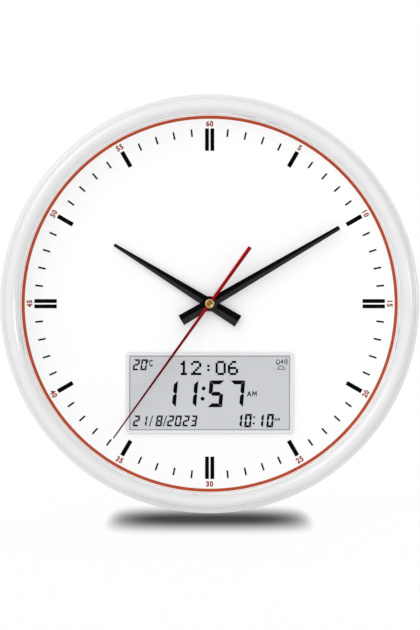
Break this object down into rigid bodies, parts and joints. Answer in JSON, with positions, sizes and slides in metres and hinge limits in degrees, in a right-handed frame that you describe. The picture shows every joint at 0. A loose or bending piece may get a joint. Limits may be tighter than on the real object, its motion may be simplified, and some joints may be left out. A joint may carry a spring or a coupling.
{
  "type": "azan wall clock",
  "caption": "Round white wall clock: hour, minute and second hands over a ringed dial, a liquid crystal window below them, and loudspeaker, buttons and battery bays at the back.",
  "frame": {"origin": "on the axis of the hands, in the plane of the rear rim that rests on the wall", "axes": "+X towards 3 o'clock, +Y into the wall, +Z towards 12 o'clock; the dial faces -Y"},
  "size_m": [0.32, 0.0438, 0.32],
  "materials": {
    "case_white": "gloss white moulding",
    "bezel_white": "gloss white moulding",
    "clear_lens": "clear flat glass",
    "spacer_white": "satin white",
    "dial_white": "matt white print",
    "trim_white": "satin white",
    "lcd_grey": "grey liquid crystal cell",
    "inner_plastic": "natural moulding",
    "zebra_rubber": "conductive rubber",
    "board_green": "glass epoxy board",
    "screw_steel": "plated steel",
    "switch_black": "black moulding",
    "button_grey": "grey moulding",
    "hand_black": "black lacquer",
    "hand_red": "red lacquer",
    "brass_cap": "polished",
    "brass_bush": "turned",
    "wheel_plastic": "acetal",
    "rotor_dark": "magnet with moulded pinion",
    "movement_black": "black moulding",
    "cell_jacket": "plain printed jacket",
    "contact_steel": "nickel plated",
    "speaker_steel": "pressed steel",
    "speaker_paper": "paper cone",
    "foam_black": "foam gasket",
    "copper": "enamelled copper"
  },
  "bodies": {
    "clock_body": {"bay_cells": "cell_jacket", "bay_contacts": "contact_steel", "board_parts": "switch_black", "board_screws": "screw_steel", "bush_washer": "foam_black", "clock_cell": "cell_jacket", "clock_contacts": "contact_steel", "coil": "copper", "dial_plate": "dial_white", "front_bezel": "bezel_white", "hex_nut": "brass_bush", "lcd_carrier": "inner_plastic", "lcd_glass": "lcd_grey", "lcd_trim": "trim_white", "lens": "clear_lens", "main_board": "board_green", "movement_bridge": "inner_plastic", "movement_circuit": "board_green", "movement_front": "movement_black", "movement_rear": "movement_black", "rear_case": "case_white", "slide_switch": "contact_steel", "spacer_ring": "spacer_white", "speaker_basket": "speaker_steel", "speaker_cone": "speaker_paper", "speaker_gasket": "foam_black", "speaker_magnet": "speaker_steel", "speaker_screws": "screw_steel", "stator": "speaker_steel", "tact_switches": "switch_black", "zebra_strips": "zebra_rubber"},
    "hour_body": {"hour_hand": "hand_black", "hour_wheel": "wheel_plastic"},
    "minute_body": {"minute_hand": "hand_black", "centre_wheel": "brass_bush"},
    "second_body": {"second_hand": "hand_red", "second_cap": "brass_cap", "second_wheel": "wheel_plastic"},
    "third_body": {"third_wheel": "wheel_plastic"},
    "motion_body": {"motion_wheel": "wheel_plastic", "setting_knob": "movement_black"},
    "step_body": {"intermediate_wheel": "wheel_plastic"},
    "rotor_body": {"rotor": "rotor_dark"},
    "door_body": {"battery_door": "case_white"},
    "slider_body": {"slide_knob": "button_grey"},
    "button_1_body": {"button_1": "button_grey"},
    "button_2_body": {"button_2": "button_grey"},
    "button_3_body": {"button_3": "button_grey"},
    "button_4_body": {"button_4": "button_grey"},
    "button_5_body": {"button_5": "button_grey"},
    "button_6_body": {"button_6": "button_grey"},
    "button_7_body": {"button_7": "button_grey"}
  },
  "joints": [
    {"name": "second_spin", "type": "hinge", "parent": "clock_body", "child": "second_body", "pos_m": [0, 0, 0], "axis": [0, 1, 0], "continuous": true},
    {"name": "minute_spin", "type": "hinge", "parent": "clock_body", "child": "minute_body", "pos_m": [0, 0, 0], "axis": [0, 1, 0], "continuous": true},
    {"name": "hour_spin", "type": "hinge", "parent": "clock_body", "child": "hour_body", "pos_m": [0, 0, 0], "axis": [0, 1, 0], "continuous": true},
    {"name": "third_spin", "type": "hinge", "parent": "clock_body", "child": "third_body", "pos_m": [0.00935, 0, 0.0054], "axis": [0, 1, 0], "continuous": true},
    {"name": "motion_spin", "type": "hinge", "parent": "clock_body", "child": "motion_body", "pos_m": [-0.00987, 0, 0.0057], "axis": [0, 1, 0], "continuous": true},
    {"name": "step_spin", "type": "hinge", "parent": "clock_body", "child": "step_body", "pos_m": [0, 0, 0.0112], "axis": [0, 1, 0], "continuous": true},
    {"name": "rotor_spin", "type": "hinge", "parent": "clock_body", "child": "rotor_body", "pos_m": [0.0036, 0, 0.01744], "axis": [0, 1, 0], "continuous": true},
    {"name": "door_swing", "type": "hinge", "parent": "clock_body", "child": "door_body", "pos_m": [-0.088, -0.0022, -0.03095], "axis": [-1, 0, 0], "range_deg": [0, 90]},
    {"name": "switch_slide", "type": "slide", "parent": "clock_body", "child": "slider_body", "axis": [1, 0, 0], "range_m": [0, 0.004]},
    {"name": "press_1", "type": "slide", "parent": "clock_body", "child": "button_1_body", "axis": [0, -1, 0], "range_m": [0, 0.0008], "stiffness_N_per_m": 1500},
    {"name": "press_2", "type": "slide", "parent": "clock_body", "child": "button_2_body", "axis": [0, -1, 0], "range_m": [0, 0.0008], "stiffness_N_per_m": 1500},
    {"name": "press_3", "type": "slide", "parent": "clock_body", "child": "button_3_body", "axis": [0, -1, 0], "range_m": [0, 0.0008], "stiffness_N_per_m": 1500},
    {"name": "press_4", "type": "slide", "parent": "clock_body", "child": "button_4_body", "axis": [0, -1, 0], "range_m": [0, 0.0008], "stiffness_N_per_m": 1500},
    {"name": "press_5", "type": "slide", "parent": "clock_body", "child": "button_5_body", "axis": [0, -1, 0], "range_m": [0, 0.0008], "stiffness_N_per_m": 1500},
    {"name": "press_6", "type": "slide", "parent": "clock_body", "child": "button_6_body", "axis": [0, -1, 0], "range_m": [0, 0.0008], "stiffness_N_per_m": 1500},
    {"name": "press_7", "type": "slide", "parent": "clock_body", "child": "button_7_body", "axis": [0, -1, 0], "range_m": [0, 0.0008], "stiffness_N_per_m": 1500}
  ],
  "couplings": [
    {"joint": "third_spin", "follows": "second_spin", "ratio": -0.13333},
    {"joint": "minute_spin", "follows": "second_spin", "ratio": 0.016667},
    {"joint": "motion_spin", "follows": "second_spin", "ratio": -0.0055556},
    {"joint": "hour_spin", "follows": "second_spin", "ratio": 0.0013889},
    {"joint": "step_spin", "follows": "second_spin", "ratio": -6},
    {"joint": "rotor_spin", "follows": "second_spin", "ratio": 30}
  ]
}
